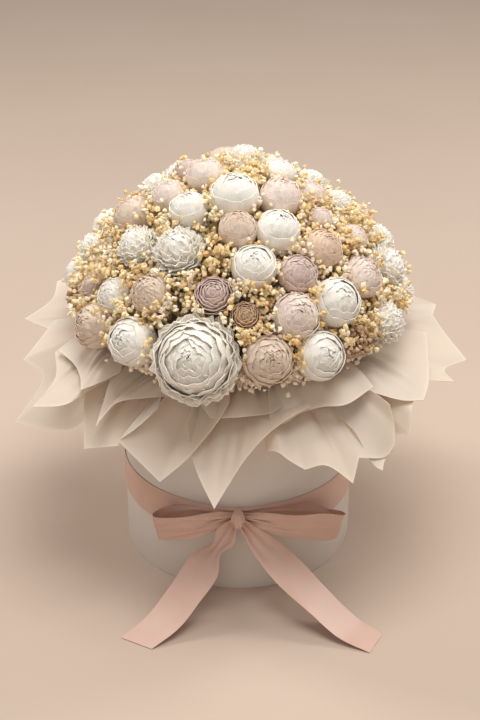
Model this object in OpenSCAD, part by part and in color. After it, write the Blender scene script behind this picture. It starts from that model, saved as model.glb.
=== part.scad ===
// Round flower box: a cardboard hat box tied with a satin bow, holding a domed
// insert of everlasting blooms and dried gypsophila in a collar of film sheets.
// Millimetres, +Z up, the front (the bow) towards -Y, the origin at the centre
// of the box's underside. An azimuth is 0 at the front and grows towards +X.

/* [Box] */
// Outside diameter of the round box
box_d = 240; // [180:1:300]
// Height of the box
box_h = 230; // [170:1:300]
// Thickness of the cardboard wall
wall_t = 2.5; // [1.5:0.1:4]
// Thickness of the bottom disc
base_t = 3; // [2:0.1:6]

/* [Insert] */
// Play between the liner and the box wall, all round
liner_gap = 0.7; // [0.4:0.1:2]
// Thickness of the plastic liner
liner_t = 0.6; // [0.4:0.1:1.2]
// How far the foam's shoulder lies below the rim
foam_drop = 6; // [3:1:20]
// Radius to which the foam's top is carved
foam_dome_r = 97; // [80:1:100]

/* [Crown] */
// Diameter of the circle through the lowest blooms' centres
crown_d = 320; // [310:2:386]
// Height from the lowest to the highest bloom centres
crown_h = 132; // [100:2:170]
// Height of the lowest bloom centres above the rim
crown_lift = 56; // [52:1:80]
// Size of every bloom against its listed diameter
bloom_scale = 1; // [0.8:0.01:1.02]

/* [Stems] */
// Diameter of the bamboo skewers
stem_d = 3; // [2:0.5:4]
// Depth to which each skewer is pushed into the foam
stem_depth = 45; // [25:5:55]
// Height of the cup that joins a bloom to its skewer
calyx_h = 7; // [4:1:10]

/* [Gypsophila] */
// Diameter of one tuft of gypsophila
tuft_d = 14; // [8:1:16]
// How far the tufts stand out past the bloom centres
tuft_out = 12; // [0:1:20]
// Diameter of a tuft's stalk
stalk_d = 1.6; // [1:0.2:2.4]
// Number of places on the crown that a tuft may take
tuft_places = 420; // [100:10:440]
// Number of tufts that hang around the bottom of the crown
skirt_tufts = 34; // [12:2:40]

/* [Paper collar] */
// Thickness of a folded film sheet
paper_t = 0.8; // [0.4:0.1:1]
// Height between one layer of sheets and the next
paper_layer = 2.5; // [2:0.1:3]
// Angle that each sheet covers
sheet_angle = 50; // [40:1:56]
// How far the sheets reach past the box wall, as against their listed reach
paper_reach = 1; // [0.7:0.05:1.2]

/* [Ribbon] */
// Width of the satin ribbon
ribbon_w = 38; // [25:1:50]
// Thickness of the ribbon as modelled
ribbon_t = 0.8; // [0.4:0.1:1]
// Height of the ribbon's middle above the table
band_z = 84; // [60:1:120]
// Diameter of the bow's knot
knot_d = 22; // [18:1:28]

/* [Hidden] */
$fn = 48;
box_r = box_d / 2;
liner_r = box_r - wall_t - liner_gap;
foam_r = liner_r - liner_t;
liner_z = base_t + 0.3;
foam_z = liner_z + liner_t;
foam_top = box_h - foam_drop;
focus_z = box_h - 30;
crown_r = crown_d / 2;
crown_z = box_h + crown_lift;
crown_power = 1.45;
bloom_foot_share = 0.42;
open_foot_share = 0.3;
cup_share = 0.18;
tuft_gap = 0.4;
skirt_angle = 21;
skirt_out = 6;
golden_angle = 137.508;

paper_root_r = foam_dome_r + 2;
paper_rim_r = box_r - 8;
paper_rise = 30;
paper_drop_back = 24;
paper_drop_front = 38;
paper_flute = 4;
paper_span = 100;
flutes = 33;
side_reach = 165;
valley_depth = 30;
listed_box_r = 120;
sheet_columns = 14;
sheet_rows = 4;
corner_share = 0.45;

band_r = box_r + ribbon_t;
knot_y = -(band_r + knot_d / 2);
knot_z = band_z + 10;
loop_steps = 8;
bend_steps = 6;
loop_start = 3;
loop_pinch = 0.35;
left_loop_end = [40, 34]; // azimuth and drop
right_loop_end = [54, 40];

// The blooms at the back, which follow a rule: rows of alternating kinds.
back_kinds = [
    ["back_peonies", "peony", "ivory"],
    ["back_carnations", "carnation", "white"],
    ["back_peonies", "peony", "tan"],
    ["back_roses", "rose", "rosybrown"],
];
function back_row(height_angle, d, azimuths) = [
    for (i = [0:len(azimuths) - 1])
        let (kind = back_kinds[(i + floor(height_angle / 20)) % len(back_kinds)])
        [kind[0], kind[1], kind[2], azimuths[i], height_angle, d]
];

// The blooms: node, kind, colour, azimuth, height angle on the crown, diameter.
// Rows that share a node are one group of separate blooms.
blooms = [
    ["open_rose", "open", "ivory", -14, 4, 80],
    ["white_peony_1", "peony", "ivory", 28, 0, 42],
    ["white_peony_2", "peony", "ivory", -38, 6, 42],
    ["white_peony_3", "peony", "ivory", 40, 24, 42],
    ["white_peony_4", "peony", "ivory", 8, 41, 38],
    ["white_peony_5", "peony", "ivory", 27, 52, 38],
    ["white_peony_6", "peony", "ivory", -4, 67, 42],
    ["taupe_peony_1", "peony", "tan", -58, 2, 40],
    ["taupe_peony_2", "peony", "tan", 10, 5, 43],
    ["taupe_peony_3", "peony", "tan", -88, 44, 38],
    ["taupe_peony_4", "peony", "tan", 0, 54, 34],
    ["blush_peony_1", "peony", "mistyrose", 22, 23, 40],
    ["blush_peony_2", "peony", "mistyrose", 49, 63, 38],
    ["blush_peony_3", "peony", "mistyrose", -80, 72, 34],
    ["peach_peony", "peony", "peachpuff", 48, 42, 36],
    ["pink_peony", "peony", "mistyrose", 60, 27, 38],
    ["mauve_pompon", "pompon", "rosybrown", 28, 37, 35],
    ["beige_pompon", "pompon", "wheat", -37, 28, 36],
    ["white_pompon", "pompon", "ivory", -54, 22, 32],
    ["mauve_rose", "rose", "rosybrown", -10, 32, 34],
    ["brown_rose", "rose", "sienna", 3, 25, 26],
    ["white_carnation_1", "carnation", "white", -33, 44, 46],
    ["white_carnation_2", "carnation", "white", -59, 40, 40],
    ["white_carnation_3", "carnation", "white", 62, 2, 40],
    ["white_carnation_4", "carnation", "white", 82, 21, 44],
    ["white_carnation_5", "carnation", "white", 103, 44, 34],
    ["top_carnation", "carnation", "white", 165, 76, 40],
    ["dried_hydrangea", "cluster", "peru", 44, 3, 32],
    ["small_peonies", "peony", "mistyrose", -78, 58, 32],
    ["small_peonies", "peony", "mistyrose", 76, 38, 26],
    ["small_peonies", "peony", "mistyrose", 66, 50, 22],
    ["small_peonies", "peony", "ivory", -44, 58, 34],
    ["small_peonies", "peony", "ivory", 100, 68, 28],
    ["small_peonies", "peony", "mistyrose", 141, 63, 28],
    ["small_peonies", "peony", "mistyrose", 88, 56, 26],
    ["side_blooms", "cluster", "peru", -83, 0, 24],
    ["side_blooms", "peony", "ivory", -101, 2, 38],
    ["side_blooms", "rose", "rosybrown", -71, 18, 26],
    ["side_blooms", "carnation", "white", 87, 0, 30],
    ["side_blooms", "carnation", "white", -119, 48, 38],
    each back_row(2, 40, [-120, -140, -160, 180, 160, 140, 122, 105]),
    each back_row(24, 40, [-94, -114, -134, -155, -176, 163, 142, 121, 101]),
    each back_row(46, 38, [-146, -174, 160, 131]),
    each back_row(62, 36, [-122, -168]),
];
function distinct(names) = [
    for (i = [0:len(names) - 1])
        if (search([names[i]], names)[0] == i) names[i]
];
bloom_nodes = distinct([for (b = blooms) b[0]]);

// The film sheets: azimuth of the middle, then how far the left and the right
// corner reach from the box's axis.
sheets = [
    [-98, 235, 222], [-65, 236, 198], [-32, 192, 198], [0, 230, 205],
    [33, 206, 218], [65, 212, 232], [98, 218, 222], [130, 225, 220],
    [163, 225, 222], [-164, 222, 225], [-131, 225, 228],
];
sheet_layers = 3;
sheet_nodes = [for (i = [0:len(sheets) - 1]) str("paper_sheet_", i + 1)];

// The tails, as places along each one: how far it has gone to the side and to
// the front, the share of the knot's height that it has fallen, the direction
// across it, and the share of the ribbon's width that is spread flat there.
tail_left = [
    [[-5, -5, 0.04], [0.5, -0.5, -0.7], 0.3],
    [[-16, -8, 0.21], [0.62, -0.6, -0.5], 0.7],
    [[-32, -20, 0.43], [0.7, -0.65, -0.3], 0.95],
    [[-52, -38, 0.66], [0.75, -0.65, -0.1], 1],
    [[-74, -58, 0.88], [0.84, -0.54, 0], 1],
    [[-100, -78, 1], [0.87, -0.49, 0], 0.95],
];
tail_right = [
    [[6, -5, 0.04], [-0.5, -0.5, -0.7], 0.3],
    [[24, -9, 0.26], [-0.55, -0.65, -0.5], 0.75],
    [[50, -24, 0.49], [-0.5, -0.8, -0.3], 1],
    [[80, -44, 0.72], [-0.5, -0.85, -0.1], 1],
    [[108, -62, 0.92], [-0.5, -0.87, 0], 1],
    [[136, -78, 1], [-0.45, -0.89, 0], 0.85],
];

// A closed sheet between two equal grids of points, given as lists of rows.
module sheet_solid(upper, lower) {
    rows = len(upper);
    columns = len(upper[0]);
    count = rows * columns;
    function id(i, j) = i * columns + j;
    polyhedron(
        points = [each [for (row = upper) each row], each [for (row = lower) each row]],
        faces = [
            for (i = [0:rows - 2], j = [0:columns - 2]) each [
                [id(i, j), id(i + 1, j), id(i + 1, j + 1)],
                [id(i, j), id(i + 1, j + 1), id(i, j + 1)],
                [count + id(i, j), count + id(i + 1, j + 1), count + id(i + 1, j)],
                [count + id(i, j), count + id(i, j + 1), count + id(i + 1, j + 1)]
            ],
            for (i = [0:rows - 2], j = [0, columns - 1]) each
                seam(id(i, j), id(i + 1, j), count, j > 0),
            for (j = [0:columns - 2], i = [0, rows - 1]) each
                seam(id(i, j), id(i, j + 1), count, i == 0)
        ]
    );
}
function seam(a, b, count, turned) = turned
    ? [[a, b, b + count], [a, b + count, a + count]]
    : [[a, b + count, b], [a, a + count, b + count]];

// The crown: a dome that is rounder than a cone and more pointed than a ball.
function crown_reach(height_angle) = crown_r * pow(cos(height_angle), 2 / crown_power);
function crown_height(height_angle) =
    crown_z + crown_h * pow(max(sin(height_angle), 0), 2 / crown_power);
// A direction from the focus of the stems: [azimuth, slope, distance].
function aim(azimuth, height_angle) =
    let (reach = crown_reach(height_angle), rise = crown_height(height_angle) - focus_z)
    [azimuth, atan2(rise, reach), norm([reach, rise])];
function unit(aim) = [cos(aim[1]) * sin(aim[0]), -cos(aim[1]) * cos(aim[0]), sin(aim[1])];
function bloom_aim(b) = aim(b[3], b[4]);
function bloom_d(b) = b[5] * bloom_scale;
function bloom_foot(b) = bloom_d(b) * (b[1] == "open" ? open_foot_share : bloom_foot_share);
module along(aim, distance) {
    translate([0, 0, focus_z])
        rotate([90 - aim[1], 0, aim[0]])
            translate([0, 0, distance]) children();
}

// A bloom's outline turned about its axis, with a flat foot on its cup.
module peony(d) {
    difference() {
        sphere(d = d);
        translate([-d, -d, -(2 + bloom_foot_share) * d]) cube(2 * d);
        rotate_extrude() translate([0.2 * d, 0.47 * d]) circle(0.035 * d);
    }
}
module pompon(d) {
    difference() {
        sphere(d = d);
        translate([-d, -d, -(2 + bloom_foot_share) * d]) cube(2 * d);
        for (level = [-0.2, 0, 0.2])
            rotate_extrude()
                translate([d * sqrt(0.25 - level * level) + 0.02 * d, level * d]) circle(0.04 * d);
    }
}
module carnation(d) {
    rotate_extrude()
        polygon(d * [
            [0, -bloom_foot_share], [0.2, -bloom_foot_share], [0.5, 0.08], [0.5, 0.22],
            [0.3, 0.36], [0, 0.4]
        ]);
}
module rose(d) {
    rotate_extrude()
        polygon(d * [
            [0, -bloom_foot_share], [0.24, -bloom_foot_share], [0.5, -0.08], [0.5, 0.1], [0.38, 0.12],
            [0.38, 0.25], [0.24, 0.27], [0.24, 0.38], [0, 0.38]
        ]);
}
module open_rose(d) {
    rotate_extrude()
        polygon(d * [
            [0, -open_foot_share], [0.2, -open_foot_share], [0.5, -0.05], [0.5, 0.04], [0.4, 0.06],
            [0.4, 0.16], [0.24, 0.18], [0.24, 0.25], [0, 0.25]
        ]);
}
module cluster(d) {
    rotate_extrude()
        polygon(d * [
            [0, -bloom_foot_share], [0.2, -bloom_foot_share], [0.42, -0.24], [0.38, -0.16],
            [0.5, 0], [0.42, 0.1], [0.44, 0.22], [0.3, 0.26], [0.26, 0.4], [0.1, 0.36], [0, 0.42]
        ]);
}
module bloom(b) {
    d = bloom_d(b);
    color(b[2])
        if (b[1] == "peony") peony(d);
        else if (b[1] == "pompon") pompon(d);
        else if (b[1] == "carnation") carnation(d);
        else if (b[1] == "rose") rose(d);
        else if (b[1] == "open") open_rose(d);
        else cluster(d);
}
module bloom_group(name) {
    for (b = blooms)
        if (b[0] == name) along(bloom_aim(b), bloom_aim(b)[2]) bloom(b);
}

module calyx_cups() {
    color("darkseagreen")
        for (b = blooms)
            along(bloom_aim(b), bloom_aim(b)[2] - bloom_foot(b) - calyx_h)
                cylinder(h = calyx_h, r1 = stem_d / 2 + 0.5, r2 = cup_share * bloom_d(b));
}

module flower_stems() {
    start = foam_dome_r - stem_depth;
    color("burlywood")
        for (b = blooms)
            along(bloom_aim(b), start)
                cylinder(h = bloom_aim(b)[2] - bloom_foot(b) - calyx_h - start, d = stem_d);
}

// Gypsophila: each tuft takes a place that is clear of every bloom, and of the
// planes between the four quarters of the crown, which are separate nodes.
function off_line(direction, b) =
    let (bloom_at = bloom_aim(b)[2] * unit(bloom_aim(b)))
    direction * bloom_at > 0 ? norm(cross(direction, bloom_at)) : crown_r;
function is_clear(aim) = min([
    for (b = blooms) off_line(unit(aim), b) - bloom_d(b) / 2 - tuft_d / 2 - tuft_gap
]) > 0;
function in_quarter(aim) =
    let (turn = (aim[0] + 405) % 90, reach = (aim[2] + tuft_out) * cos(aim[1]))
    reach * sin(min(turn, 90 - turn)) > (tuft_d + tuft_gap) / 2;
crown_places = [
    for (k = [0:tuft_places - 1])
        aim((k * golden_angle) % 360 - 180, asin((k + 0.5) / tuft_places))
];
skirt_places = [
    for (k = [0:skirt_tufts - 1])
        [k * 360 / skirt_tufts - 180, skirt_angle, (crown_r + skirt_out) / cos(skirt_angle) - tuft_out]
];
tufts = [
    for (a = concat(crown_places, skirt_places))
        if (a[1] >= skirt_angle && in_quarter(a) && is_clear(a)) a
];
module gypsophila(azimuth, tone) {
    start = foam_dome_r - stem_depth / 2;
    color(tone)
        for (a = tufts)
            if (cos(a[0] - azimuth) > cos(45))
                along(a, start) {
                    cylinder(h = a[2] + tuft_out - start, d = stalk_d);
                    translate([0, 0, a[2] + tuft_out - start]) sphere(d = tuft_d);
                }
}

module box_wall() {
    color("linen")
        difference() {
            cylinder(h = box_h, r = box_r);
            translate([0, 0, -1]) cylinder(h = box_h + 2, r = box_r - wall_t);
        }
}
module box_base() {
    color("antiquewhite") cylinder(h = base_t, r = box_r - wall_t);
}
module liner() {
    color("lightgray")
        translate([0, 0, liner_z])
            difference() {
                cylinder(h = foam_top - liner_z, r = liner_r);
                translate([0, 0, liner_t]) cylinder(h = foam_top, r = foam_r);
            }
}
module foam_block() {
    color("olivedrab")
        union() {
            translate([0, 0, foam_z]) cylinder(h = foam_top - foam_z, r = foam_r);
            intersection() {
                translate([0, 0, foam_top - 1]) cylinder(h = 2 * foam_dome_r, r = foam_dome_r);
                translate([0, 0, focus_z]) sphere(r = foam_dome_r);
            }
        }
}

// A film sheet starts on the foam's shoulder, crosses the rim and hangs over it.
// All sheets follow one surface, a layer apart, so that none meets another.
function paper_z(azimuth, r) =
    let (x = max(r - paper_rim_r, 0) / paper_span,
         front = pow(max(cos(azimuth), 0), 1.5))
    box_h + 1 + paper_t + paper_rise * x
        - (paper_drop_back + paper_drop_front * front) * x * x
        + paper_flute * (1 + sin(flutes * azimuth)) * x * x / 2;
function sheet_edge(sheet, u) =
    let (valley = (sheet[1] + sheet[2]) / 2 - valley_depth,
         listed = lookup(u, [
             [-1, side_reach], [-corner_share, sheet[1]], [0, valley],
             [corner_share, sheet[2]], [1, side_reach]
         ]))
    box_r + (listed - listed_box_r) * paper_reach;
function sheet_grid(sheet, lift) = [
    for (i = [0:sheet_rows + 1]) [
        for (j = [0:sheet_columns])
            let (u = 2 * j / sheet_columns - 1,
                 azimuth = sheet[0] + u * sheet_angle / 2,
                 share = max(i - 1, 0) / sheet_rows,
                 r = i == 0 ? paper_root_r
                   : paper_rim_r + share * (sheet_edge(sheet, u) - paper_rim_r),
                 z = i == 0 ? foam_top + 0.3 + paper_t : paper_z(azimuth, r))
            [r * sin(azimuth), -r * cos(azimuth), z + lift]
    ]
];
module paper_sheet(i) {
    lift = (i % sheet_layers) * paper_layer;
    color("seashell")
        sheet_solid(sheet_grid(sheets[i], lift), sheet_grid(sheets[i], lift - paper_t));
}

// A ribbon strip: each station is a middle, the half width across, a normal.
module strip(stations) {
    function side(s) = [
        for (row = stations) [row[0] - row[1] + s * row[2] * ribbon_t / 2,
                              row[0] + row[1] + s * row[2] * ribbon_t / 2]
    ];
    sheet_solid(side(1), side(-1));
}
module ribbon_band() {
    color("rosybrown")
        translate([0, 0, band_z - ribbon_w / 2])
            difference() {
                cylinder(h = ribbon_w, r = band_r);
                translate([0, 0, -1]) cylinder(h = ribbon_w + 2, r = box_r);
            }
}
module bow_knot() {
    color("rosybrown") translate([0, knot_y, knot_z]) sphere(d = knot_d);
}
// A loop runs out along the wall, turns back at its end and returns behind itself.
function loop_station(side, end, share, r) =
    let (azimuth = side * (loop_start + (end[0] - loop_start) * share),
         z = knot_z - end[1] * share * share,
         half = ribbon_w / 2 * (loop_pinch + (1 - loop_pinch) * min(1, 1.6 * share)))
    [[r * sin(azimuth), -r * cos(azimuth), z], [0, 0, half], [sin(azimuth), -cos(azimuth), 0]];
module bow_loop(side, end) {
    inner_r = band_r + 2;
    bend_r = 6;
    middle_r = inner_r + bend_r;
    out = [
        for (k = [0:loop_steps])
            loop_station(side, end, k / loop_steps,
                         middle_r + bend_r * min(1, 0.4 + k / loop_steps))
    ];
    bend = [
        for (k = [1:bend_steps - 1])
            let (turn = 180 * k / bend_steps,
                 tip = loop_station(side, end, 1, middle_r + bend_r * cos(turn)),
                 tangent = side * [cos(side * end[0]), sin(side * end[0]), 0],
                 outward = [sin(side * end[0]), -cos(side * end[0]), 0])
            [tip[0] + tangent * bend_r * sin(turn), tip[1],
             outward * cos(turn) + tangent * sin(turn)]
    ];
    back = [
        for (k = [0:loop_steps])
            let (s = loop_station(side, end, 1 - k / loop_steps, inner_r))
            [s[0], s[1], -s[2]]
    ];
    color("rosybrown") strip(concat(out, bend, back));
}
module ribbon_tail(stations) {
    across = [for (s = stations) s[1] / norm(s[1])];
    middle = [
        for (s = stations)
            [s[0][0], knot_y + s[0][1], knot_z - s[0][2] * (knot_z - ribbon_t)]
    ];
    last = len(stations) - 1;
    color("rosybrown")
        strip([
            for (i = [0:last])
                let (run = middle[min(i + 1, last)] - middle[max(i - 1, 0)],
                     normal = cross(across[i], run) * (stations[last][0][0] > 0 ? 1 : -1))
                [middle[i], across[i] * stations[i][2] * ribbon_w / 2, normal / norm(normal)]
        ]);
}

box_wall();
box_base();
liner();
foam_block();
flower_stems();
calyx_cups();
ribbon_band();
bow_knot();
bow_loop(-1, left_loop_end);  // bow_loop_left
bow_loop(1, right_loop_end);  // bow_loop_right
ribbon_tail(tail_left);  // ribbon_tail_left
ribbon_tail(tail_right);  // ribbon_tail_right
gypsophila(0, "khaki");  // gypsophila_front
gypsophila(90, "khaki");  // gypsophila_right
gypsophila(180, "khaki");  // gypsophila_back
gypsophila(-90, "khaki");  // gypsophila_left
for (i = [0:len(sheets) - 1]) paper_sheet(i);
for (name = bloom_nodes) bloom_group(name);
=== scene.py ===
"""The flower box's looks: a hat box tied with satin, and its dome of everlasting blooms in a film collar."""

import bpy
import numpy as np
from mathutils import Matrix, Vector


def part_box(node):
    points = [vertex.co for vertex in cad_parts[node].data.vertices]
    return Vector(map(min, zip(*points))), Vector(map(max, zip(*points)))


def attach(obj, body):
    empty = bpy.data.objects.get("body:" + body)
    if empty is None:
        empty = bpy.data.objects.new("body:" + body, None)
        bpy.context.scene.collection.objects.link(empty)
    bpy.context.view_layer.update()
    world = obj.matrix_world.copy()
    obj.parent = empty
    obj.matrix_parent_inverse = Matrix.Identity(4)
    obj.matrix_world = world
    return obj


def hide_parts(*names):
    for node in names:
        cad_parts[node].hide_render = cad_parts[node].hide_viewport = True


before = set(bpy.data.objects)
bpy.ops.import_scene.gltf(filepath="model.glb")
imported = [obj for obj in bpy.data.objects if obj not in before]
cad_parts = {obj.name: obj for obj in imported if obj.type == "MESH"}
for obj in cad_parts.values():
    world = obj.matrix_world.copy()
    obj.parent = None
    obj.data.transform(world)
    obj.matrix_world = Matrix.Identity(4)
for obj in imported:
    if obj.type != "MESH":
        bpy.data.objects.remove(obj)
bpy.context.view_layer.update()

# ---- The table, the camera and the light ----------------------------------------------------
# The box stands on a table spread with plain beige cloth, seen from a little above its rim.
# Daylight comes softly from windows behind it on both sides and from above, so its front is in
# shade.


def chart(red, green, blue):
    """A colour of the paint chart, 0 to 255 a channel, as linear light."""
    share = np.array([red, green, blue]) / 255
    linear = np.where(share > 0.04045, ((share + 0.055) / 1.055) ** 2.4, share / 12.92)
    return (*(float(x) for x in linear), 1.0)


class Wire:
    """An output of a finish. Arithmetic on it adds Math nodes."""

    def __init__(self, finish, socket):
        self.finish = finish
        self.socket = socket

    def maths(self, operation, first, second=0.0):
        return self.finish.add("ShaderNodeMath", {"operation": operation}, {0: first, 1: second})

    def __add__(self, other):
        return self.maths("ADD", self, other)

    def __radd__(self, other):
        return self.maths("ADD", other, self)

    def __sub__(self, other):
        return self.maths("SUBTRACT", self, other)

    def __rsub__(self, other):
        return self.maths("SUBTRACT", other, self)

    def __mul__(self, other):
        return self.maths("MULTIPLY", self, other)

    def __rmul__(self, other):
        return self.maths("MULTIPLY", other, self)

    def __pow__(self, other):
        return self.maths("POWER", self, other)


class Finish:
    """One material: a Principled shader and what feeds it."""

    def __init__(self, name, constants):
        self.material = bpy.data.materials.new(name)
        self.material.use_nodes = True
        self.tree = self.material.node_tree
        self.shader = self.tree.nodes["Principled BSDF"]
        for socket, value in constants.items():
            self.shader.inputs[socket].default_value = value

    def add(self, kind, settings, values, output=0):
        """A node of a kind: its settings first, then the value or wire of each socket."""
        node = self.tree.nodes.new(kind)
        for name, value in settings.items():
            if name != "stops":
                setattr(node, name, value)
                continue
            ramp = node.color_ramp
            while len(ramp.elements) < len(value):
                ramp.elements.new(0.5)
            for stop, (place, colour) in zip(ramp.elements, value):
                stop.position = place
                stop.color = colour
        for socket, value in values.items():
            self.feed(node.inputs[socket], value)
        return Wire(self, node.outputs[output])

    def feed(self, socket, value):
        if isinstance(value, Wire):
            self.tree.links.new(value.socket, socket)
        else:
            socket.default_value = value

    def place(self):
        return self.add("ShaderNodeTexCoord", {}, {}, "Object")

    def noise(self, scale, detail=3.0, vector=None):
        vector = vector or self.place()
        return self.add("ShaderNodeTexNoise", {}, {"Vector": vector, "Scale": scale, "Detail": detail})

    def between(self, factor, low, high):
        """The colour that lies a factor of the way from low to high."""
        return self.add("ShaderNodeMix", {"data_type": "RGBA"}, {0: factor, 6: low, 7: high}, 2)

    def relief(self, height, strength, depth):
        bump = {"Height": height, "Strength": strength, "Distance": depth}
        self.feed(self.shader.inputs["Normal"], self.add("ShaderNodeBump", {}, bump))

    def colour(self, wire):
        self.feed(self.shader.inputs["Base Color"], wire)

    def roughness(self, wire):
        self.feed(self.shader.inputs["Roughness"], wire)


crease = float(np.radians(50))


def put_mesh(name, points, quads, finish):
    """An object whose mesh has these points, in metres, and these faces. Edges that bend by more
    than the crease stay sharp, such as the cut rims of petals and film."""
    mesh = bpy.data.meshes.new(name)
    mesh.from_pydata(points.tolist(), [], quads.tolist())
    mesh.materials.append(finish.material)
    mesh.shade_smooth()
    mesh.set_sharp_from_angle(angle=crease)
    placed = bpy.data.objects.new(name, mesh)
    bpy.context.scene.collection.objects.link(placed)
    return placed


cloth = Finish("table_cloth", {"Roughness": 0.95, "Specular IOR Level": 0.15})
cloth.colour(cloth.between(cloth.noise(3.0), chart(198, 178, 162), chart(206, 187, 172)))
cloth.relief(cloth.noise(900.0, 2.0), 0.15, 0.0004)
floor_half = 30.0
floor_corners = floor_half * np.array([[-1, -1, 0], [1, -1, 0], [1, 1, 0], [-1, 1, 0]])
put_mesh("table", floor_corners, np.array([[0, 1, 2, 3]]), cloth)

camera_data = bpy.data.cameras.new("camera")
camera_data.lens = 80
camera = bpy.data.objects.new("camera", camera_data)
camera.location = (0.002, -1.4514, 1.0077)
camera.rotation_euler = (np.radians(61), 0, 0)
bpy.context.scene.collection.objects.link(camera)
bpy.context.scene.camera = camera


def area_light(name, place, target, size, power, colour):
    """A square soft light at a place, aimed at a target."""
    data = bpy.data.lights.new(name, "AREA")
    data.size = size
    data.energy = power
    data.color = colour
    lamp = bpy.data.objects.new(name, data)
    lamp.location = place
    aim = Vector(target) - Vector(place)
    lamp.rotation_euler = aim.to_track_quat("-Z", "Y").to_euler()
    bpy.context.scene.collection.objects.link(lamp)


area_light("left_window", (-1.5, 0.7, 1.9), (0, 0, 0.25), 0.5, 18, (1.0, 0.98, 0.95))
area_light("right_window", (1.7, 0.9, 1.9), (0, 0, 0.25), 0.6, 19, (1.0, 0.98, 0.95))
area_light("ceiling", (0.2, -0.3, 2.3), (0, 0, 0.3), 1.3, 35, (1.0, 0.99, 0.97))
area_light("front_fill", (-0.6, -2.4, 1.3), (0, 0, 0.25), 2.0, 9, (1.0, 0.98, 0.96))
world = bpy.data.worlds.new("room")
world.use_nodes = True
world.node_tree.nodes["Background"].inputs["Color"].default_value = chart(240, 232, 224)
world.node_tree.nodes["Background"].inputs["Strength"].default_value = 0.34
bpy.context.scene.world = world
bpy.context.scene.view_settings.view_transform = "Standard"

# ---- The box: wall and bottom ------------------------------------------------------------------
# A tube of grey board rolled and glued, covered in matte ivory paper that is turned in over the
# rim, with a disc of the same board glued inside its lower edge. The bow is tied round it.

box_low, box_high = (np.array(corner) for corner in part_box("box_wall"))
box_radius = (box_high[0] - box_low[0]) / 2
rim_height = box_high[2]
board = 0.0025
edge_round = 0.0008
around_steps = 192


def around(turn, reach, height):
    """Places at a turn about the box's axis, counted from the front, a reach from it and a height."""
    return np.stack([reach * np.sin(turn), -reach * np.cos(turn), height + 0 * turn], axis=-1)


def unit(vectors):
    """Vectors scaled to a length of 1."""
    return vectors / np.linalg.norm(vectors, axis=-1, keepdims=True)


def hand_over(piece, body, node):
    """Rides a piece on its body, in place of a solid of the frame."""
    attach(piece, body)
    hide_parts(node)


def lathe(name, profile, finish):
    """A closed outline of (radius, height) rows, counter-clockwise, turned about the box's axis."""
    turn = np.linspace(0, 2 * np.pi, around_steps, endpoint=False)[:, None]
    radius, height = np.array(profile).T
    rings = around(turn, radius, height)
    count = len(profile)
    here = np.arange(around_steps * count).reshape(around_steps, count)
    there = np.roll(here, -1, axis=0)
    up, up_there = np.roll(here, -1, axis=1), np.roll(there, -1, axis=1)
    quads = np.stack([here, there, up_there, up], axis=-1).reshape(-1, 4)
    return put_mesh(name, rings.reshape(-1, 3), quads, finish)


def rounded(corners, radius, steps=4):
    """An outline whose corners are rounded by arcs, as a quadratic curve through each corner."""
    corners = np.array(corners, float)
    before, after = np.roll(corners, 1, axis=0), np.roll(corners, -1, axis=0)
    rows = []
    for corner, back, ahead in zip(corners, before, after):
        start = corner + radius * unit(back - corner)
        end = corner + radius * unit(ahead - corner)
        t = np.linspace(0, 1, steps)[:, None]
        rows.append((1 - t) ** 2 * start + 2 * t * (1 - t) * corner + t**2 * end)
    return np.concatenate(rows)


covered_board = Finish("covered_board", {"Specular IOR Level": 0.3})
fibre = covered_board.noise(520.0, 5.0)
covered_board.colour(
    covered_board.between(covered_board.noise(14.0), chart(216, 208, 199), chart(227, 220, 212))
)
covered_board.roughness(0.72 + 0.16 * fibre)
covered_board.relief(fibre, 0.25, 0.0002)

wall_outline = rounded(
    [
        (box_radius - board, 0),
        (box_radius, 0),
        (box_radius, rim_height),
        (box_radius - board, rim_height),
    ],
    edge_round,
)
box_wall = lathe("box_wall_covered", wall_outline, covered_board)
hand_over(box_wall, "box", "box_wall")

grey_board = Finish("grey_board", {"Specular IOR Level": 0.2})
grey_board.colour(grey_board.between(grey_board.noise(60.0), chart(198, 186, 170), chart(212, 201, 186)))
grey_board.roughness(0.8 + 0.15 * grey_board.noise(700.0))
grey_board.relief(grey_board.noise(600.0), 0.3, 0.0003)


def dress(node, finish):
    """Gives a solid of the frame, which stays as it is, its finish."""
    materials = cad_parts[node].data.materials
    materials.clear()
    materials.append(finish.material)


dress("box_base", grey_board)

# ---- The insert: liner, foam, skewers and cups ---------------------------------------------------
# A thin clear plastic cup holds a block of dry floral foam whose top is carved to a dome. Bamboo
# skewers are pushed into it towards one point, and each carries a bloom in a moulded green cup.

liner_film = Finish("liner_film", {"Roughness": 0.15, "Alpha": 0.35, "Base Color": chart(236, 238, 238)})
liner_film.relief(liner_film.noise(40.0), 0.3, 0.002)
dry_foam = Finish("dry_foam", {"Roughness": 1.0, "Specular IOR Level": 0.1})
pores = dry_foam.add("ShaderNodeTexVoronoi", {}, {"Vector": dry_foam.place(), "Scale": 900.0})
dry_foam.colour(dry_foam.between(pores, chart(112, 100, 82), chart(152, 138, 116)))
dry_foam.relief(pores, 0.7, 0.0006)
bamboo = Finish("bamboo", {"Roughness": 0.6})
bamboo.colour(bamboo.between(bamboo.noise(180.0), chart(198, 168, 118), chart(222, 196, 150)))
bamboo.relief(bamboo.noise(420.0), 0.3, 0.0002)
cup_green = Finish("cup_green", {"Roughness": 0.5})
cup_green.colour(cup_green.between(cup_green.noise(120.0), chart(126, 122, 88), chart(156, 150, 114)))
dress("liner", liner_film)
dress("foam_block", dry_foam)
dress("flower_stems", bamboo)
dress("calyx_cups", cup_green)

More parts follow.
